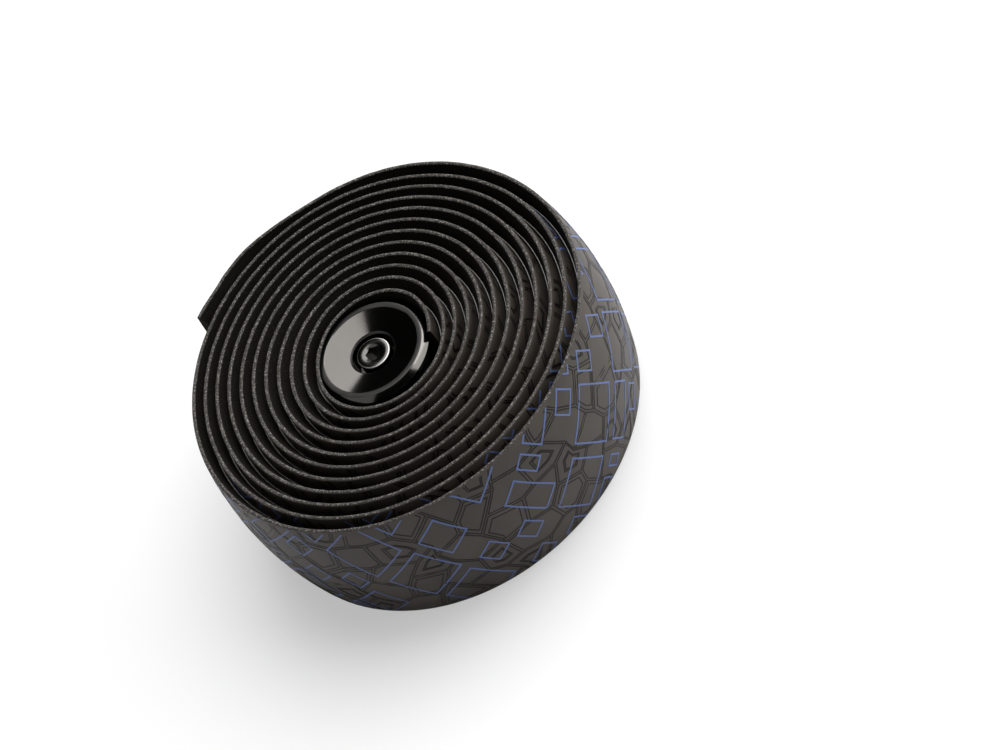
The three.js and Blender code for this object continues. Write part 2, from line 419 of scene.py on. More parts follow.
class Effects:
    """The effects that more than one finish uses, each a node group that is built once."""

    def __init__(self) -> None:
        """Build the groups."""
        self.grain = self.build_grain()
        self.speckle = self.build_speckle()
        self.turning = self.build_turning()

    @staticmethod
    def build_grain() -> bpy.types.NodeTree:
        """Leather-like grain: small cells broken up by a fine noise, as a height and a tone."""
        sockets = [("Cells", FLOAT, 900.0), ("Fine", FLOAT, 3500.0), ("Clouds", FLOAT, 90.0)]
        outputs = [("Height", FLOAT), ("Tone", FLOAT)]
        tree, bench, given, result = effect_group("leather_grain", sockets, outputs)
        place = bench.place()
        cells = bench.add("ShaderNodeTexVoronoi", {"Vector": place, "Scale": given.outputs["Cells"]})
        fine = bench.noise(place, given.outputs["Fine"], 2.0)
        height = bench.math("ADD", cells.outputs["Distance"], fine)
        bench.feed(result.inputs["Height"], height)
        bench.feed(result.inputs["Tone"], bench.noise(place, given.outputs["Clouds"]))
        return tree

    @staticmethod
    def build_speckle() -> bpy.types.NodeTree:
        """Torn-foam speckle: bright grains where a fine noise peaks, as a mask and a height."""
        sockets = [("Scale", FLOAT, 2600.0), ("From", FLOAT, 0.52), ("To", FLOAT, 0.66)]
        outputs = [("Mask", FLOAT), ("Height", FLOAT)]
        tree, bench, given, result = effect_group("torn_speckle", sockets, outputs)
        grains = bench.noise(bench.place(), given.outputs["Scale"], 4.0)
        mask = bench.ramp(grains, given.outputs["From"], given.outputs["To"])
        bench.feed(result.inputs["Mask"], mask)
        bench.feed(result.inputs["Height"], grains)
        return tree

    @staticmethod
    def build_turning() -> bpy.types.NodeTree:
        """Lathe marks: the sine of the radius about an axis, shifted by a noise, as a height."""
        sockets = [("Centre", VECTOR, 0.0), ("Rings", FLOAT, 9000.0), ("Wobble", FLOAT, 2.0)]
        tree, bench, given, result = effect_group("lathe_marks", sockets, [("Height", FLOAT)])
        ends = {0: bench.place(), 1: given.outputs["Centre"]}
        moved = bench.add("ShaderNodeVectorMath", ends, operation="SUBTRACT")
        split = bench.add("ShaderNodeSeparateXYZ", {0: moved.outputs[0]})
        flat = bench.add("ShaderNodeCombineXYZ", {0: split.outputs[0], 1: split.outputs[1]})
        radius = bench.add("ShaderNodeVectorMath", {0: flat.outputs[0]}, operation="LENGTH")
        rings = bench.math("MULTIPLY", radius.outputs["Value"], given.outputs["Rings"])
        noise = bench.noise(flat.outputs[0], 400.0, 1.0)
        shift = bench.math("MULTIPLY", noise, given.outputs["Wobble"])
        height = bench.math("SINE", bench.math("ADD", rings, shift))
        bench.feed(result.inputs["Height"], height)
        return tree


@dataclass(frozen=True)
class Finish:
    """A plain surface: its colour, its gloss and how strongly its relief shows."""

    name: str
    colour: tuple[float, float, float]
    roughness: float
    metallic: float = 0.0
    specular: float = 0.5
    relief: float = 0.0
    relief_depth: float = 0.00005

    def start(self) -> tuple[bpy.types.Material, NodeBench, bpy.types.Node]:
        """Make the material and set its shader's plain values.

        Returns:
            The material, a bench for its nodes and its shader.
        """
        material = bpy.data.materials.new(self.name)
        material.use_nodes = True
        shader = material.node_tree.nodes["Principled BSDF"]
        shader.inputs["Base Color"].default_value = (*self.colour, 1.0)
        shader.inputs["Roughness"].default_value = self.roughness
        shader.inputs["Metallic"].default_value = self.metallic
        shader.inputs["Specular IOR Level"].default_value = self.specular
        return material, NodeBench(material.node_tree), shader

    def raise_relief(self, bench: NodeBench, shader: bpy.types.Node, height: object) -> None:
        """Feed a height to the shader's normal through a Bump node.

        Args:
            bench: The material's bench.
            shader: The material's shader.
            height: The height's socket.
        """
        inputs = {"Strength": self.relief, "Distance": self.relief_depth, "Height": height}
        bench.feed(shader.inputs["Normal"], bench.add("ShaderNodeBump", inputs).outputs["Normal"])

    def shade(self) -> tuple[float, float, float, float]:
        """A darker tone of the colour, for cloudy patches."""
        return (*(channel * 0.72 for channel in self.colour), 1.0)


@dataclass(frozen=True)
class SkinFinish(Finish):
    """Satin polyurethane skin with a leather grain and slight clouds."""

    cells: float = 1100.0
    spread: float = 0.16

    def material(self, effects: Effects) -> bpy.types.Material:
        """Build the material, from the shared effects."""
        material, bench, shader = self.start()
        grain = bench.add("ShaderNodeGroup", {"Cells": self.cells}, node_tree=effects.grain)
        tone = bench.ramp(grain.outputs["Tone"], 0.3, 0.7)
        bench.feed(shader.inputs["Base Color"], bench.mix(tone, self.shade(), (*self.colour, 1.0)))
        least = self.roughness - self.spread / 2
        rough = bench.math("MULTIPLY_ADD", grain.outputs["Tone"], self.spread, least)
        bench.feed(shader.inputs["Roughness"], rough)
        self.raise_relief(bench, shader, grain.outputs["Height"])
        return material


@dataclass(frozen=True)
class CutFinish(Finish):
    """A cut foam edge: rough, with bright torn grains on a darker ground."""

    grains: tuple[float, float, float] = (0.5, 0.48, 0.45)
    scale: float = 3600.0

    def material(self, effects: Effects) -> bpy.types.Material:
        """Build the material, from the shared effects."""
        material, bench, shader = self.start()
        speckle = bench.add("ShaderNodeGroup", {"Scale": self.scale}, node_tree=effects.speckle)
        base = bench.mix(speckle.outputs["Mask"], (*self.colour, 1.0), (*self.grains, 1.0))
        bench.feed(shader.inputs["Base Color"], base)
        self.raise_relief(bench, shader, speckle.outputs["Height"])
        return material


@dataclass(frozen=True)
class InkFinish(Finish):
    """Printed ink, a little worn where the skin's clouds are high."""

    worn: tuple[float, float, float] = (0.1, 0.1, 0.1)
    wear: float = 0.3

    def material(self, effects: Effects) -> bpy.types.Material:
        """Build the material, from the shared effects."""
        material, bench, shader = self.start()
        grain = bench.add("ShaderNodeGroup", node_tree=effects.grain)
        patchy = bench.math("MULTIPLY", bench.ramp(grain.outputs["Tone"], 0.45, 0.75), self.wear)
        base = bench.mix(patchy, (*self.colour, 1.0), (*self.worn, 1.0))
        bench.feed(shader.inputs["Base Color"], base)
        self.raise_relief(bench, shader, grain.outputs["Height"])
        return material


@dataclass(frozen=True)
class TurnedFinish(Finish):
    """Turned metal: lathe marks about the plug's axis and a faint cloud in its gloss."""

    rings: float = 9000.0
    cloud: float = 0.08
    cloud_scale: float = 300.0
    mottle: float = 1.0
    mottle_scale: float = 500.0

    def material(self, effects: Effects, centre: tuple[float, float]) -> bpy.types.Material:
        """Build the material.

        Args:
            effects: The shared effects.
            centre: Where the turning axis stands, in millimetres.

        Returns:
            The material.
        """
        material, bench, shader = self.start()
        inputs = {"Rings": self.rings, "Centre": (centre[0] * MM, centre[1] * MM, 0.0)}
        turning = bench.add("ShaderNodeGroup", inputs, node_tree=effects.turning)
        place = bench.place()
        cloud = bench.math("MULTIPLY", bench.noise(place, self.cloud_scale), self.cloud)
        rough = bench.math("ADD", cloud, self.roughness - self.cloud / 2)
        bench.feed(shader.inputs["Roughness"], rough)
        patches = bench.ramp(bench.noise(place, self.mottle_scale), 0.35, 0.65)
        tone = bench.math("MULTIPLY", patches, self.mottle)
        bench.feed(shader.inputs["Base Color"], bench.mix(tone, (*self.colour, 1.0), self.shade()))
        self.raise_relief(bench, shader, turning.outputs["Height"])
        return material


@dataclass
class TapeStrip:
    """The wound strip itself, and the thin film on its back."""

    winding: Winding
    effects: Effects
    step: float = 0.75
    raggedness: float = 0.07
    waviness: float = 0.09
    seed: int = 11
    film_thickness: float = 0.14
    film_sunk: float = 0.02
    film_below_bevel: float = 0.1
    film_start: float = math.radians(75)
    film_before_tail: float = 0.02
    film_stations: int = 1500
    wave_periods: tuple[float, ...] = (61.0, 97.0, 151.0, 233.0)
    fold_points: int = 5
    skin_points: int = 10
    bevel_shares: tuple[float, ...] = (0.35, 0.7, 1.0)
    skin_faces: int = 2
    cut_faces: int = 6
    skin: SkinFinish = SkinFinish(
        "tape_skin", (0.049, 0.041, 0.034), 0.45, specular=0.26, relief=0.3, relief_depth=0.00003
    )
    cut: CutFinish = CutFinish(
        "cut_edge",
        (0.027, 0.0245, 0.022),
        0.65,
        specular=0.15,
        relief=1.0,
        relief_depth=0.00012,
        grains=(0.2, 0.19, 0.178),
    )
    # The back's colour is dark foam darkened to near black as painted shade, so that the gaps
    # between turns and the tape's end faces come out black.
    back: CutFinish = CutFinish(
        "tape_back_painted_shade",
        (0.0075, 0.0065, 0.0055),
        0.8,
        specular=0.04,
        relief=0.5,
        grains=(0.018, 0.016, 0.014),
    )
    film: Finish = Finish("backing_film", (0.32, 0.31, 0.3), 0.35)

    def outline(self) -> tuple[Array, Array, Array, Array]:
        """The section as a closed outline, upwards along the skin and down along the back.

        The folds at the skin and at the inner lip are quarter circles, the bevel is straight, and
        the lower half mirrors the upper one. The cut starts a few faces into the skin's fold.

        Returns:
            Heights, insets of a tape as thin as its lip, the share of the added thickness that each
            point is moved in by, and the zone of the face after each point.
        """
        size = self.winding.section
        quarter = np.radians(np.linspace(0, 90, self.fold_points))
        shares = np.array(self.bevel_shares)
        outer_depth = size.skin_fold * (1 - np.sin(quarter))
        inner_depth = size.inner_fold * (1 - np.cos(quarter))
        depth = np.concatenate([outer_depth, inner_depth, shares * size.bevel])
        outer_inset = size.skin_fold * (1 - np.cos(quarter))
        inner_inset = size.lip - size.inner_fold * (1 - np.sin(quarter))
        inset = np.concatenate([outer_inset, inner_inset, np.full_like(shares, size.lip)])
        swell = np.concatenate([np.zeros(2 * self.fold_points), shares])
        skin = np.linspace(size.skin_fold, size.width - size.skin_fold, self.skin_points + 2)[1:-1]
        flat = np.zeros_like(skin)
        heights = np.concatenate([skin, size.width - depth, [size.width / 2], depth[::-1]])
        insets = np.concatenate([flat, inset, [size.lip], inset[::-1]])
        swells = np.concatenate([flat, swell, [1.0], swell[::-1]])
        zones = np.full(len(heights), Zone.BACK_PAINTED_SHADE.value)
        upper = self.skin_points + self.skin_faces
        lower = len(heights) - 1 - self.skin_faces
        zones[:upper] = Zone.SKIN.value
        zones[upper : upper + self.cut_faces] = Zone.CUT.value
        zones[lower - self.cut_faces : lower] = Zone.CUT.value
        zones[lower:] = Zone.SKIN.value
        return heights, insets, swells, zones

    def ripples(self, lengths: Array) -> tuple[Array, Array]:
        """A slow wave and a fine raggedness along the strip, both seeded.

        The wave is a mean of four sines; the raggedness is noise averaged over three stations.

        Args:
            lengths: The stations' lengths along the strip.

        Returns:
            The wave, and the raggedness of the top and bottom edges, at about unit size.
        """
        random = np.random.default_rng(self.seed)
        periods = np.array(self.wave_periods)
        phases = random.uniform(0, FULL_TURN, len(periods))
        wave = np.sin(FULL_TURN * lengths[:, None] / periods + phases).mean(axis=1)
        noise = random.standard_normal((len(lengths) + 2, 2))
        return wave, (noise[:-2] + noise[1:-1] + noise[2:]) / 3

    @staticmethod
    def carried(name: str, points: Array) -> bpy.types.Object:
        """A closed piece from outlines carried along the tape.

        Args:
            name: The piece's name.
            points: Positions in millimetres, one row of outline points for each station.

        Returns:
            The new piece, with a face across each end.
        """
        rows, columns = points.shape[:2]
        faces = grid_faces(rows, columns, False, True)[:, ::-1].tolist()
        first = list(range(columns))
        last = list(range(rows * columns - 1, (rows - 1) * columns - 1, -1))
        return new_piece(name, points.reshape(-1, 3), [*faces, first, last])

    def build_strip(self) -> bpy.types.Object:
        """Carry the section along the spiral, at even steps of length.

        Heights near an edge get the wave and the raggedness, and stay within the tape's width.

        Returns:
            The strip.
        """
        size = self.winding.section
        wound_table, length_table = self.winding.lengths()
        stations = np.linspace(0, length_table[-1], int(length_table[-1] / self.step))
        wound = np.interp(stations, length_table, wound_table)[:, None]
        height, inset, swell, zone = self.outline()
        wave, ragged = self.ripples(stations)
        high = np.clip((height - size.width + size.inner_fold) / size.inner_fold, 0, 1)
        low = np.clip((size.inner_fold - height) / size.inner_fold, 0, 1)
        torn = ragged[:, :1] * high + np.abs(ragged[:, 1:]) * low
        heights = height + self.waviness * wave[:, None] * high + self.raggedness * torn
        heights = np.clip(heights, 0, size.width)
        insets = inset + swell * (self.winding.thickness(wound) - size.lip)
        points = self.winding.place(wound, heights, insets)
        strip = self.carried("tape_strip", points)
        for finish in (self.skin, self.cut, self.back):
            strip.data.materials.append(finish.material(self.effects))
        # The two end faces take the back's finish, whose near-black colour is partly painted shade.
        zones = np.concatenate([np.tile(zone, len(wound) - 1), [Zone.BACK_PAINTED_SHADE.value] * 2])
        strip.data.polygons.foreach_set("material_index", zones.astype(np.int32))
        smooth_by_angle(strip, 50)
        return strip

    def build_film(self) -> bpy.types.Object:
        """The film on the back: a thin rectangle carried along the spiral.

        Returns:
            The film.
        """
        size = self.winding.section
        last = self.winding.wound - self.film_before_tail
        wound = np.linspace(self.film_start, last, self.film_stations)[:, None]
        low = size.bevel + self.film_below_bevel
        high = size.width - low
        heights = np.array([low, high, high, size.width / 2, low])
        sunk, proud = -self.film_sunk, self.film_thickness
        inward = np.array([sunk, sunk, proud, proud, proud])
        points = self.winding.place(wound, heights, self.winding.thickness(wound) + inward)
        film = self.carried("backing_film", points)
        film.data.materials.append(self.film.start()[0])
        smooth_by_angle(film, 40)
        return film

    def build(self) -> None:
        """Make the strip and its film, in place of the solid roll."""
        strip = self.build_strip()
        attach(strip, "roll")
        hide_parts("handlebar_tape")
        film = self.build_film()
        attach(film, "roll")
        LOG.info("tape strip: %d faces", len(strip.data.polygons))


@dataclass(frozen=True)
class Pen:
    """How an ink lies on the skin: its line width and how proud it stands."""

    ink: Ink
    width: float
    proud: float
    finish: InkFinish


@dataclass(frozen=True)
class Lattice:
    """Leaning cells that the frames fill: size, gap between frames, looseness and the two leans.

    A layout is a choice of frames for one cell, each as left, low, right and high shares of it.
    """

    cell: float = 13.6
    gap: float = 1.9
    loose: float = 0.08
    lean: float = math.radians(41)
    rise: float = math.radians(124)
    beyond: int = 3
    layouts: tuple[tuple[tuple[float, ...], ...], ...] = (
        ((0, 0, 1, 1),),
        ((0, 0.54, 0.46, 1), (0.58, 0, 1, 0.46)),
        ((0, 0.3, 0.7, 1),),
        ((0, 0.5, 1, 1), (0.5, 0, 1, 0.38)),
        ((0, 0, 0.56, 1), (0.7, 0.55, 1, 1)),
    )
    chances: tuple[float, ...] = (0.44, 0.24, 0.1, 0.12, 0.1)


@dataclass(frozen=True)
class Network:
    """The black network: its cell size, its outline's share of a cell, and what is nested.

    A nested outline has a share of its cell too, and stands in one of every four diagonals.
    """

    cell: float = 8.2
    outline: float = 0.93
    nested: tuple[tuple[float, int], ...] = ((0.72, 0), (0.5, 2), (0.4, 2))
    diagonals: int = 4
    waves: int = 7
    wave_range: tuple[float, float] = (0.5, 1.1)
    sway: float = 0.5


@dataclass
class PrintedLines:
    """Generic line work printed along the skin: blue frames over a fine black network.

    Every line is a loop in the plane of the flat tape: a length along it and a height across it.
    """

    winding: Winding
    effects: Effects
    sink: float = 0.02
    margin: float = 0.4
    end_margin: float = 1.0
    blue: Pen = Pen(
        Ink.BLUE,
        0.36,
        0.04,
        InkFinish("blue_ink", (0.08, 0.118, 0.275), 0.5, specular=0.3, relief=0.2),
    )
    black: Pen = Pen(
        Ink.BLACK,
        0.25,
        0.035,
        InkFinish("black_ink", (0.006, 0.005, 0.004), 0.4, specular=0.15, relief=0.1, wear=0.05),
    )
    lattice: Lattice = Lattice()
    network: Network = Network()
    edge_band: float = 5.0
    blue_turns: float = 2.1
    black_turns: float = 1.15
    blue_parts: int = 6
    black_parts: int = 2
    sharpest: float = 0.4
    seed: int = 5

    def blue_loops(self, total: float) -> Array:
        """The frames: each lattice cell holds one frame, or two that differ in size.

        A frame is a rectangle in shares of its cell, and the cell leans as the lattice does. Each
        corner pair is drawn in by a random share, so that the frames don't line up.

        Args:
            total: The tape's length.

        Returns:
            Four corners for each frame.
        """
        size, width = self.lattice, self.winding.section.width
        random = np.random.default_rng(self.seed)
        reach = math.ceil((total + width) / size.cell)
        side = np.array([math.cos(size.lean), math.sin(size.lean)])
        rise = np.array([math.cos(size.rise), math.sin(size.rise)])
        loops = []
        for i in range(-size.beyond, reach):
            for j in range(1 - reach, size.beyond + 2):
                layout = size.layouts[random.choice(len(size.layouts), p=size.chances)]
                start = (i * side + j * rise) * size.cell
                if not -size.cell < start[1] < width:
                    continue
                for left, low, right, high in layout:
                    left, low = (left, low) + random.uniform(0, size.loose, 2)
                    right, high = (right, high) - random.uniform(0, size.loose, 2)
                    corners = np.array([(left, low), (right, low), (right, high), (left, high)])
                    inner = corners * (size.cell - size.gap) + size.gap / 2
                    loops.append(start + inner[:, :1] * side + inner[:, 1:] * rise)
        return np.array(loops)

    def drift(self, points: Array) -> Array:
        """Move points by a seeded mean of plane waves, so that loops that share one still meet.

        Args:
            points: Places on the flat tape.

        Returns:
            The moved places.
        """
        size, count = self.network, self.network.waves
        random = np.random.default_rng(self.seed)
        angles = random.uniform(0, FULL_TURN, count)
        waves = np.stack([np.cos(angles), np.sin(angles)]) * random.uniform(*size.wave_range, count)
        phases = random.uniform(0, FULL_TURN, (2, count))
        sway = np.stack([np.sin(points @ waves + phase).mean(axis=-1) for phase in phases], axis=-1)
        return points + sway * size.cell * size.sway

    def black_loops(self, total: float) -> Array:
        """The network: double outlines of a honeycomb's cells, bent by the drift, some nested.

        The cells stand in rows, every other row half a cell along, and a cell's corners lie on a
        circle about its centre, 60 degrees apart.

        Args:
            total: The tape's length.

        Returns:
            Six corners for each outline.
        """
        size = self.network
        rise = size.cell * math.sqrt(3) / 2
        rows = np.arange(-1, round(self.winding.section.width / rise) + 1)
        columns = np.arange(int(total / size.cell))
        column, row = (part.ravel() for part in np.meshgrid(columns, rows))
        along = (column + 0.5 * (row % 2) + 0.5) * size.cell
        centre = np.stack([along, (row + 0.5) * rise], axis=1)
        corner = np.radians(30 + 60 * np.arange(6))
        spokes = np.stack([np.cos(corner), np.sin(corner)], axis=1) * size.cell / math.sqrt(3)
        cells = self.drift(centre[:, None] + spokes)
        middle = cells.mean(axis=1, keepdims=True)
        loops = [middle + (cells - middle) * size.outline]
        for share, diagonal in size.nested:
            nested = middle + (cells - middle) * share
            loops.append(nested[(column + row) % size.diagonals == diagonal])
        return np.concatenate(loops)

    def seen(self, loops: Array, total: float, turns: float, band: float) -> Array:
        """The loops on the outer turns, and those that lie near an edge on the inner ones.

        Args:
            loops: All loops.
            total: The tape's length.
            turns: How many outer turns keep every loop.
            band: How far from an edge a loop's middle may be on the inner turns.

        Returns:
            The loops that are kept.
        """
        middle = loops.mean(axis=1)
        width = self.winding.section.width
        radius = self.winding.edge_radius(np.array([self.winding.wound]))
        outer = total - turns * FULL_TURN * radius
        near_edge = (band > 0) & (np.abs(middle[:, 1] - width / 2) > width / 2 - band)
        return loops[(middle[:, 0] > outer) | near_edge]

    @staticmethod
    def divided(loops: Array, parts: int) -> Array:
        """The same loops with each side divided into equal parts."""
        share = np.arange(parts)[:, None] / parts
        ahead = np.roll(loops, -1, axis=1)
        fine = loops[:, :, None] * (1 - share) + ahead[:, :, None] * share
        return fine.reshape(len(loops), -1, 2)

    def sides(self, loops: Array, width: float) -> tuple[Array, Array]:
        """The two edges of a line along each loop, mitred at its corners.

        The mitre is the mean of the two neighbouring normals, lengthened by one over its cosine.

        Args:
            loops: Points of every loop.
            width: The line's width.

        Returns:
            The left edges and the right edges.
        """
        ahead = np.roll(loops, -1, axis=1) - loops
        ahead /= np.linalg.norm(ahead, axis=2, keepdims=True)
        behind = np.roll(ahead, 1, axis=1)
        mean = ahead + behind
        mean /= np.maximum(np.linalg.norm(mean, axis=2, keepdims=True), 1e-9)
        normal = np.stack([-mean[..., 1], mean[..., 0]], axis=2)
        cosine = np.maximum((mean * ahead).sum(axis=2, keepdims=True), self.sharpest)
        half = normal / cosine * width / 2
        return loops + half, loops - half

    def build_ink(self, pen: Pen, loops: Array, parts: int) -> bpy.types.Object:
        """All lines of one ink as thin closed bars that lie just in and just out of the skin.

        Parts of a line that would leave the tape are left out, and the bar is closed there.

        Args:
            pen: The line width, its height and its finish.
            loops: Corners of every loop.
            parts: How many parts each side is divided into, so that it follows the skin.

        Returns:
            The piece that holds every line.
        """
        wound_table, length_table = self.winding.lengths()
        width, total = self.winding.section.width, length_table[-1]
        fine = self.divided(loops, parts)
        middle = (fine + np.roll(fine, -1, axis=1)) / 2
        kept = np.abs(middle[..., 0] - total / 2) < total / 2 - self.end_margin
        kept &= np.abs(middle[..., 1] - width / 2) < width / 2 - self.margin
        left, right = self.sides(fine, pen.width)
        edges = np.stack([left, left, right, right], axis=2)
        heights = np.clip(edges[..., 1], self.margin, width - self.margin)
        wound = np.interp(edges[..., 0], length_table, wound_table)
        inset = np.array([self.sink, -pen.proud, -pen.proud, self.sink])
        points = self.winding.place(wound, heights, inset)
        count, around = kept.shape
        first = (np.arange(count)[:, None] * around + np.arange(around)) * 4
        last = np.roll(first, -1, axis=1)
        ring = np.arange(4)
        beside = np.roll(ring, -1)
        ends = ((first, ring), (last, ring), (last, beside), (first, beside))
        quads = np.stack([end[..., None] + corner for end, corner in ends], axis=-1)[kept]
        opens = kept & ~np.roll(kept, 1, axis=1)
        closes = kept & ~np.roll(kept, -1, axis=1)
        lids = (first[opens][:, None] + ring, last[closes][:, None] + ring[::-1])
        faces = np.concatenate([quads.reshape(-1, 4), *lids])
        used, faces = np.unique(faces, return_inverse=True)
        corners = points.reshape(-1, 3)[used]
        name = f"{pen.ink.value}_print"
        piece = new_piece(name, corners, faces.reshape(-1, 4).tolist(), smooth=False)
        piece.data.materials.append(pen.finish.material(self.effects))
        return piece

    def build(self) -> None:
        """Print both inks."""
        total = self.winding.lengths()[1][-1]
        blue = self.seen(self.blue_loops(total), total, self.blue_turns, 0.0)
        black = self.seen(self.black_loops(total), total, self.black_turns, self.edge_band)
        inks = ((self.blue, blue, self.blue_parts), (self.black, black, self.black_parts))
        for pen, loops, parts in inks:
            piece = self.build_ink(pen, loops, parts)
            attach(piece, "roll")
            LOG.info("%s print: %d faces", pen.ink.value, len(piece.data.polygons))


@dataclass(frozen=True)
class CapSizes:
    """The turned cap, in depths below its land ring."""

    flange_radius: float = 12.0
    flank_run: float = 1.2
    flank_depth: float = 0.85
    flange_edge: float = 0.95
    land_width: float = 0.92
    land_step: float = 0.1
    dish_depth: float = 1.2
    dish_rise: float = 0.05
    counterbore_radius: float = 4.5
    counterbore_chamfer: float = 0.32
    counterbore_floor: float = 5.6
    spigot_radius: float = 8.1
    spigot_end: float = 7.8
    screw_hole: float = 2.3
    fillet: float = 0.07


@dataclass(frozen=True)
class ScrewSizes:
    """The socket-head screw, in heights from its head's seat."""

    seat: float = -5.3
    head_radius: float = 3.5
    head_height: float = 4.0
    head_chamfer: float = 0.24
    socket_flats: float = 3.0
    socket_depth: float = 2.0
    socket_chamfer: float = 0.28
    socket_chamfer_slope: float = 0.48
    mouth_width: float = 0.06
    mouth_drop: float = 0.02
    seat_chamfer: float = 0.12
    neck: float = 1.6
    shank_radius: float = 2.0
    shank_length: float = 16.0
    thread_lead: float = 0.7
    thread_depth: float = 0.36
    thread_start: float = 2.0
    thread_rows: int = 190


def rounded(profile: Sequence[tuple[float, float]], radius: float, steps: int = 4) -> Array:
    """A closed profile with each corner cut back and bridged by a parabola.

    Each corner is left at a distance of the radius, or less on a short side, and the bridge is the
    quadratic curve through the two cut points with the corner as its control point.

    Args:
        profile: Corners in order; the last joins the first.
        radius: How far each corner is cut back.
        steps: Number of points on each bridge.

    Returns:
        The rounded profile's points.
    """
    corner = np.array(profile, float)
    back, ahead = np.roll(corner, 1, axis=0) - corner, np.roll(corner, -1, axis=0) - corner
    back_length = np.linalg.norm(back, axis=1, keepdims=True)
    ahead_length = np.linalg.norm(ahead, axis=1, keepdims=True)
    cut = np.minimum(radius, 0.4 * np.minimum(back_length, ahead_length))
    first, last = corner + back / back_length * cut, corner + ahead / ahead_length * cut
    t = np.linspace(0, 1, steps)[:, None]
    bridge = (1 - t) ** 2 * first[:, None] + 2 * t * (1 - t) * corner[:, None]
    return (bridge + t**2 * last[:, None]).reshape(-1, 2)


@dataclass
class BarEndPlug:
    """The plug: cap and screw as finely turned pieces, sleeve and wedge nut as they come."""

    axis: tuple[float, float]
    land: float
    effects: Effects
    cap: CapSizes = CapSizes()
    screw: ScrewSizes = ScrewSizes()
    around: int = 192
    gloss: TurnedFinish = TurnedFinish(
        "black_anodised",
        (0.055, 0.052, 0.049),
        0.12,
        metallic=1.0,
        relief=0.01,
        cloud=0.01,
        mottle=0.08,
    )
    satin: TurnedFinish = TurnedFinish(
        "black_anodised_land", (0.036, 0.035, 0.034), 0.34, metallic=1.0, relief=0.03, mottle=0.3
    )
    steel: TurnedFinish = TurnedFinish(
        "black_steel", (0.06, 0.058, 0.056), 0.17, metallic=1.0, relief=0.02, cloud=0.03, mottle=0.3
    )
    # A lighter steel for the screw head's outer chamfer, as a painted highlight ring.
    painted_highlight_steel: TurnedFinish = TurnedFinish(
        "painted_highlight_steel", (0.3, 0.29, 0.28), 0.34, metallic=1.0, relief=0.02, cloud=0.03, mottle=0.5
    )
    plastic: SkinFinish = SkinFinish("sleeve_plastic", (0.02, 0.02, 0.02), 0.55, relief=0.2)
    plain: TurnedFinish = TurnedFinish(
        "wedge_metal", (0.42, 0.42, 0.43), 0.32, metallic=1.0, relief=0.1
    )

    def turn(self, name: str, radius: Array, height: Array, closed: bool) -> bpy.types.Object:
        """Carry a profile round the plug's axis.

        Args:
            name: The piece's name.
            radius: Radii, one row for each profile point and one column for each angle.
            height: Heights from the land ring, one for each profile point, or one for each radius.
            closed: Whether the profile closes on itself; if not, its ends lie on the axis.

        Returns:
            The new piece.
        """
        angle = np.linspace(0, FULL_TURN, radius.shape[1], endpoint=False)
        x = self.axis[0] + radius * np.cos(angle)
        y = self.axis[1] + radius * np.sin(angle)
        levels = height if height.ndim == 2 else height[:, None]
        z = np.broadcast_to(self.land + levels, radius.shape)
        points = np.stack([x, y, z], axis=-1)
        rows, columns = radius.shape
        faces = grid_faces(rows, columns, closed, True)[:, ::-1].tolist()
        corners = points.reshape(-1, 3)
        if not closed:
            poles = [[*self.axis, z[0].mean()], [*self.axis, z[-1].mean()]]
            pole, base = np.full(columns, len(corners)), (rows - 1) * columns
            corners = np.vstack([corners, poles])
            around = np.arange(columns)
            after = (around + 1) % columns
            faces += np.stack([pole, after, around], axis=1).tolist()
            faces += np.stack([pole + 1, base + around, base + after], axis=1).tolist()
        return new_piece(name, corners, faces)

    def build_cap(self) -> bpy.types.Object:
        """The cap: land ring, conical flank, flange, spigot, counterbore and dish.

        The land ring and the counterbore's chamfer get the satin finish.

        Returns:
            The cap.
        """
        size = self.cap
        land_outer = size.flange_radius - size.flank_run
        land_inner = land_outer - size.land_width
        underside = -size.flank_depth - size.flange_edge
        chamfer = size.counterbore_chamfer
        mouth = (size.counterbore_radius + chamfer, -size.dish_depth + size.dish_rise)
        profile = [
            (size.screw_hole, -size.spigot_end),
            (size.spigot_radius, -size.spigot_end),
            (size.spigot_radius, underside),
            (size.flange_radius, underside),
            (size.flange_radius, -size.flank_depth),
            (land_outer, 0.0),
            (land_inner, 0.0),
            (land_inner - size.land_step, -size.land_step),
            mouth,
            (size.counterbore_radius, -size.dish_depth - chamfer),
            (size.counterbore_radius, -size.counterbore_floor),
            (size.screw_hole, -size.counterbore_floor),
        ]
        points = rounded(profile, size.fillet)
        radius = np.repeat(points[:, :1], self.around, axis=1)
        cap = self.turn("plug_cap", radius, points[:, 1], closed=True)
        steps = len(points) // len(profile)
        rows = np.zeros(len(points), int)
        for corner in (profile.index((land_outer, 0.0)), profile.index(mouth)):
            rows[steps * corner + 1 : steps * (corner + 1) + 2] = 1
        self.finish_rows(cap, rows, (self.gloss, self.satin))
        smooth_by_angle(cap, 32)
        return cap

    def finish_rows(
        self, piece: bpy.types.Object, rows: Array, finishes: Sequence[TurnedFinish]
    ) -> None:
        """Give each row of a turned piece one of several finishes; poles get the first.

        Args:
            piece: The turned piece.
            rows: The number of the finish of each row of faces.
            finishes: The finishes, in the order of their numbers.
        """
        for finish in finishes:
            piece.data.materials.append(finish.material(self.effects, self.axis))
        numbers = np.zeros(len(piece.data.polygons), np.int32)
        numbers[: len(rows) * self.around] = np.repeat(rows, self.around)
        piece.data.polygons.foreach_set("material_index", numbers)

    def hexagon(self, count: int) -> Array:
        """Radius of the socket's hexagon: its half flats over the cosine from the nearest flat.

        Args:
            count: Number of even angles in a turn.

        Returns:
            One radius for each angle.
        """
        angle = np.linspace(0, FULL_TURN, count, endpoint=False)
        from_flat = (angle + math.pi / 6) % (math.pi / 3) - math.pi / 6
        return self.screw.socket_flats / 2 / np.cos(from_flat)

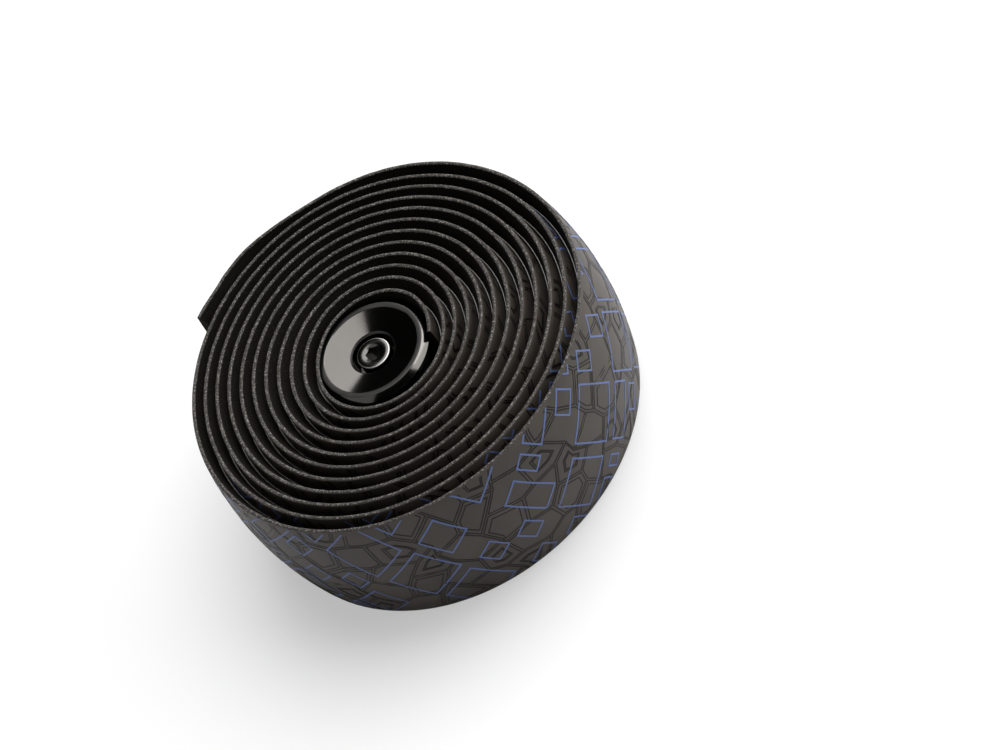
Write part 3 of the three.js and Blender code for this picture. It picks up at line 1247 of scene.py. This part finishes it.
    def build_screw(self) -> bpy.types.Object:
        """The screw: threaded shank, head with two chamfers and a hexagon socket.

        The thread's radius falls by its depth as a rounded wave of height minus angle over a turn,
        and runs out over one lead at both ends. The head's outer chamfer gets a lighter steel, as a
        painted highlight ring.

        Returns:
            The screw.
        """
        size, count = self.screw, self.around
        angle = np.linspace(0, FULL_TURN, count, endpoint=False)
        top = size.seat + size.head_height
        tip = size.seat - size.shank_length
        shank = np.linspace(tip, size.seat - size.thread_start, size.thread_rows)
        turn = (shank[:, None] - tip) / size.thread_lead - angle / FULL_TURN
        wave = 0.5 + 0.5 * np.cos(FULL_TURN * turn)
        rise, fall = (
            np.clip(run / size.thread_lead, 0, 1) for run in (shank - tip, shank[-1] - shank)
        )
        threaded = size.shank_radius - size.thread_depth * (1 - wave * (rise * fall)[:, None])
        mouth = size.socket_flats / math.sqrt(3) + size.socket_chamfer
        hexagon = self.hexagon(count)
        chamfer, bend = size.head_chamfer, size.head_chamfer * 0.3
        rest = [
            (size.shank_radius, size.seat - size.neck),
            (size.shank_radius, size.seat),
            (size.head_radius - size.seat_chamfer, size.seat),
            (size.head_radius, size.seat + size.seat_chamfer),
            (size.head_radius, top - chamfer),
            (size.head_radius - bend, top - bend),
            (size.head_radius - chamfer, top),
            (mouth + size.mouth_width, top),
            (mouth, top - size.mouth_drop),
            (hexagon, top - (mouth - hexagon) * size.socket_chamfer_slope),
            (hexagon, top - size.socket_depth),
        ]
        radius = np.vstack([threaded, *(np.broadcast_to(row, count) for row, _ in rest)])
        levels = [*shank, *(height for _, height in rest)]
        heights = np.stack([np.broadcast_to(height, count) for height in levels])
        screw = self.turn("socket_screw", radius, heights, closed=False)
        rows = np.zeros(len(heights) - 1, int)
        # The head's outer chamfer rows get the lighter steel, a painted highlight ring.
        rows[len(shank) + 4 : len(shank) + 6] = 1
        self.finish_rows(screw, rows, (self.steel, self.painted_highlight_steel))
        smooth_by_angle(screw, 35)
        return screw

    def build(self) -> None:
        """Make and dress the plug's pieces."""
        cap = self.build_cap()
        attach(cap, "roll")
        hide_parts("end_cap")
        screw = self.build_screw()
        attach(screw, "screw")
        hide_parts("cap_screw")
        LOG.info("plug: cap %d faces, screw %d", len(cap.data.polygons), len(screw.data.polygons))

    def dress_nodes(self, nodes: dict[str, bpy.types.Object]) -> None:
        """Give the sleeve and the wedge nut their finishes."""
        dress(nodes["expander_sleeve"], self.plastic.material(self.effects))
        dress(nodes["wedge_nut"], self.plain.material(self.effects, self.axis))


def dress(node: bpy.types.Object, material: bpy.types.Material) -> None:
    """Put one material on every slot of a node.

    Args:
        node: The node.
        material: Its material.
    """
    if not node.material_slots:
        node.data.materials.append(material)
    for slot in node.material_slots:
        slot.material = material


@dataclass(frozen=True)
class Lamp:
    """A soft oblong lamp: its direction and distance, its sides in metres and its brightness.

    It may light matt surfaces, shine in glossy ones, or do both.
    """

    name: str
    azimuth: float
    elevation: float
    away: float
    sides: tuple[float, float]
    radiance: float
    roll: float = 0.0
    lights: bool = True
    shines: bool = True


@dataclass(frozen=True)
class Card:
    """A dark card that only reflections see: its limits in degrees, seen from the roll."""

    name: str
    azimuths: tuple[float, float]
    elevations: tuple[float, float]
    away: float = 1.7
    columns: int = 24
    rows: int = 10


@dataclass
class Studio:
    """A pale floor, soft lamps, dark cards and the camera."""

    axis: tuple[float, float]
    eye: tuple[float, float, float] = (-4.4, -406.8, 480.1)
    look: tuple[float, float] = (86.984, -49.6)
    roll: float = 36.87
    lens: float = 113.15
    sensor: float = 36.0
    clip: tuple[float, float] = (0.01, 100.0)
    lit_point: tuple[float, float, float] = (0.0, 0.0, 0.02)
    floor_span: float = 12.0
    floor_corners: int = 96
    floor_colour: tuple[float, float, float] = (0.88, 0.88, 0.88)
    floor_glow: float = 0.44
    glow_from: float = 0.02
    glow_full: float = 0.042
    ambient: float = 0.15
    lamps: tuple[Lamp, ...] = (
        Lamp("key_lamp", 35.7, 55.0, 1.3, (1.4, 1.4), 4.9, roll=165.0),
        Lamp("shine_lamp", -10.0, 40.0, 1.3, (1.3, 0.6), 4.8, roll=30.0, lights=False),
        Lamp("side_lamp", -17.0, 22.0, 1.3, (1.3, 0.6), 4.5, shines=False),
    )
    cards: tuple[Card, ...] = (
        Card("back_card", (73.0, 147.0), (8.0, 75.0)),
        Card("front_card", (-148.0, -43.0), (38.0, 68.0)),
    )

    def build_floor(self) -> None:
        """A flat round floor, level with the roll's lower edges.

        The camera sees it glow a little, except inside the roll, so that it comes out white.
        """
        rim = towards(np.linspace(0, 360, self.floor_corners, endpoint=False), 0.0)
        floor = new_piece("floor", rim * self.floor_span / MM, [list(range(len(rim)))])
        material, bench, shader = Finish("floor", self.floor_colour, 0.9, specular=0.0).start()
        path = bench.add("ShaderNodeLightPath").outputs["Is Camera Ray"]
        white = bench.add("ShaderNodeEmission", {"Strength": 1.0})
        place = bench.add("ShaderNodeNewGeometry").outputs["Position"]
        far = bench.add("ShaderNodeVectorMath", {0: place}, operation="LENGTH").outputs["Value"]
        outside = bench.ramp(far, self.glow_from, self.glow_full)
        share = bench.math("MULTIPLY", path, bench.math("MULTIPLY", outside, self.floor_glow))
        parts = {0: share, 1: shader.outputs["BSDF"], 2: white.outputs["Emission"]}
        both = bench.add("ShaderNodeMixShader", parts)
        output = material.node_tree.nodes["Material Output"]
        bench.feed(output.inputs["Surface"], both.outputs["Shader"])
        floor.data.materials.append(material)

    def build_world(self) -> None:
        """Soft light all round; the camera and shiny surfaces see it white."""
        world = bpy.data.worlds.new("studio")
        bpy.context.scene.world = world
        world.use_nodes = True
        bench = NodeBench(world.node_tree)
        path = bench.add("ShaderNodeLightPath")
        seen = bench.math("MAXIMUM", path.outputs["Is Camera Ray"], path.outputs["Is Glossy Ray"])
        seen = bench.math("MAXIMUM", seen, path.outputs["Is Transmission Ray"])
        strength = bench.math("MULTIPLY_ADD", seen, 1.0 - self.ambient, self.ambient)
        background = world.node_tree.nodes["Background"]
        background.inputs["Color"].default_value = (1.0, 1.0, 1.0, 1.0)
        bench.feed(background.inputs["Strength"], strength)

    @staticmethod
    def aim(eye: Array, target: Array, roll: float = 0.0) -> Matrix:
        """A matrix that looks from a place to a target.

        Args:
            eye: The place, in metres.
            target: What it looks at.
            roll: How far it is rolled clockwise, in degrees.

        Returns:
            The matrix, with -Z towards the target.
        """
        look = (target - eye) / np.linalg.norm(target - eye)
        level = np.cross(look, [0.0, 0.0, 1.0])
        level /= np.linalg.norm(level)
        upright = np.cross(level, look)
        cosine, sine = math.cos(math.radians(roll)), math.sin(math.radians(roll))
        right, up = level * cosine - upright * sine, level * sine + upright * cosine
        turned = np.eye(4)
        turned[:3] = np.stack([right, up, -look, eye], axis=1)
        return Matrix(turned.tolist())

    def build_camera(self) -> None:
        """The camera: a long lens above the near side, rolled as the photograph is."""
        eye = (np.array(self.eye) + [*self.axis, 0.0]) * MM
        data = bpy.data.cameras.new("camera")
        data.lens = self.lens
        data.sensor_width = self.sensor
        data.clip_start, data.clip_end = self.clip
        camera = bpy.data.objects.new("camera", data)
        camera.matrix_world = self.aim(eye, eye + towards(*self.look), self.roll)
        bpy.context.scene.collection.objects.link(camera)
        bpy.context.scene.camera = camera

    def build_lamp(self, lamp: Lamp) -> None:
        """Hang a lamp; its power is its brightness times pi times its area.

        Args:
            lamp: The lamp.
        """
        data = bpy.data.lights.new(lamp.name, "AREA")
        data.shape = "RECTANGLE"
        data.size, data.size_y = lamp.sides
        data.energy = lamp.radiance * math.pi * data.size * data.size_y
        target = np.array(self.lit_point)
        place = target + towards(lamp.azimuth, lamp.elevation) * lamp.away
        hung = bpy.data.objects.new(lamp.name, data)
        hung.matrix_world = self.aim(place, target, lamp.roll)
        hung.visible_diffuse = lamp.lights
        hung.visible_glossy = lamp.shines
        bpy.context.scene.collection.objects.link(hung)

    @staticmethod
    def build_card(card: Card) -> None:
        """Stand a card up as a patch of a sphere about the roll.

        Args:
            card: The card.
        """
        azimuth = np.linspace(*card.azimuths, card.columns)[:, None]
        points = towards(azimuth, np.linspace(*card.elevations, card.rows)).reshape(-1, 3)
        faces = grid_faces(card.columns, card.rows, False, False).tolist()
        stood = new_piece(card.name, points * card.away / MM, faces)
        black = Finish(card.name, (0.02, 0.02, 0.02), 1.0, specular=0.0)
        stood.data.materials.append(black.start()[0])
        stood.visible_camera = False
        stood.visible_diffuse = False
        stood.visible_shadow = False

    def build(self) -> None:
        """Set the studio up."""
        self.build_floor()
        self.build_world()
        self.build_camera()
        for lamp in self.lamps:
            self.build_lamp(lamp)
        for card in self.cards:
            self.build_card(card)
        bpy.context.scene.view_settings.view_transform = "Standard"


def plug_place() -> tuple[tuple[float, float], float, float]:
    """Read the plug's place from the frame.

    Returns:
        The plug's axis, the height of its land ring and its flange's radius.
    """
    low, high = (np.array(corner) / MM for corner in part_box("end_cap"))
    centre = (low + high) / 2
    return (float(centre[0]), float(centre[1])), float(high[2]), float((high[0] - low[0]) / 2)


def main() -> None:
    """Build every piece in order and report each one."""
    logging.basicConfig(level=logging.INFO, format="%(name)s: %(message)s")
    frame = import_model()
    axis, land, flange_radius = plug_place()
    winding = Winding(flange_radius=flange_radius, axis=axis)
    effects = Effects()
    TapeStrip(winding, effects).build()
    PrintedLines(winding, effects).build()
    plug = BarEndPlug(axis, land, effects)
    plug.build()
    plug.dress_nodes(frame["nodes"])
    Studio(axis).build()


if __name__ == "__main__":
    main()
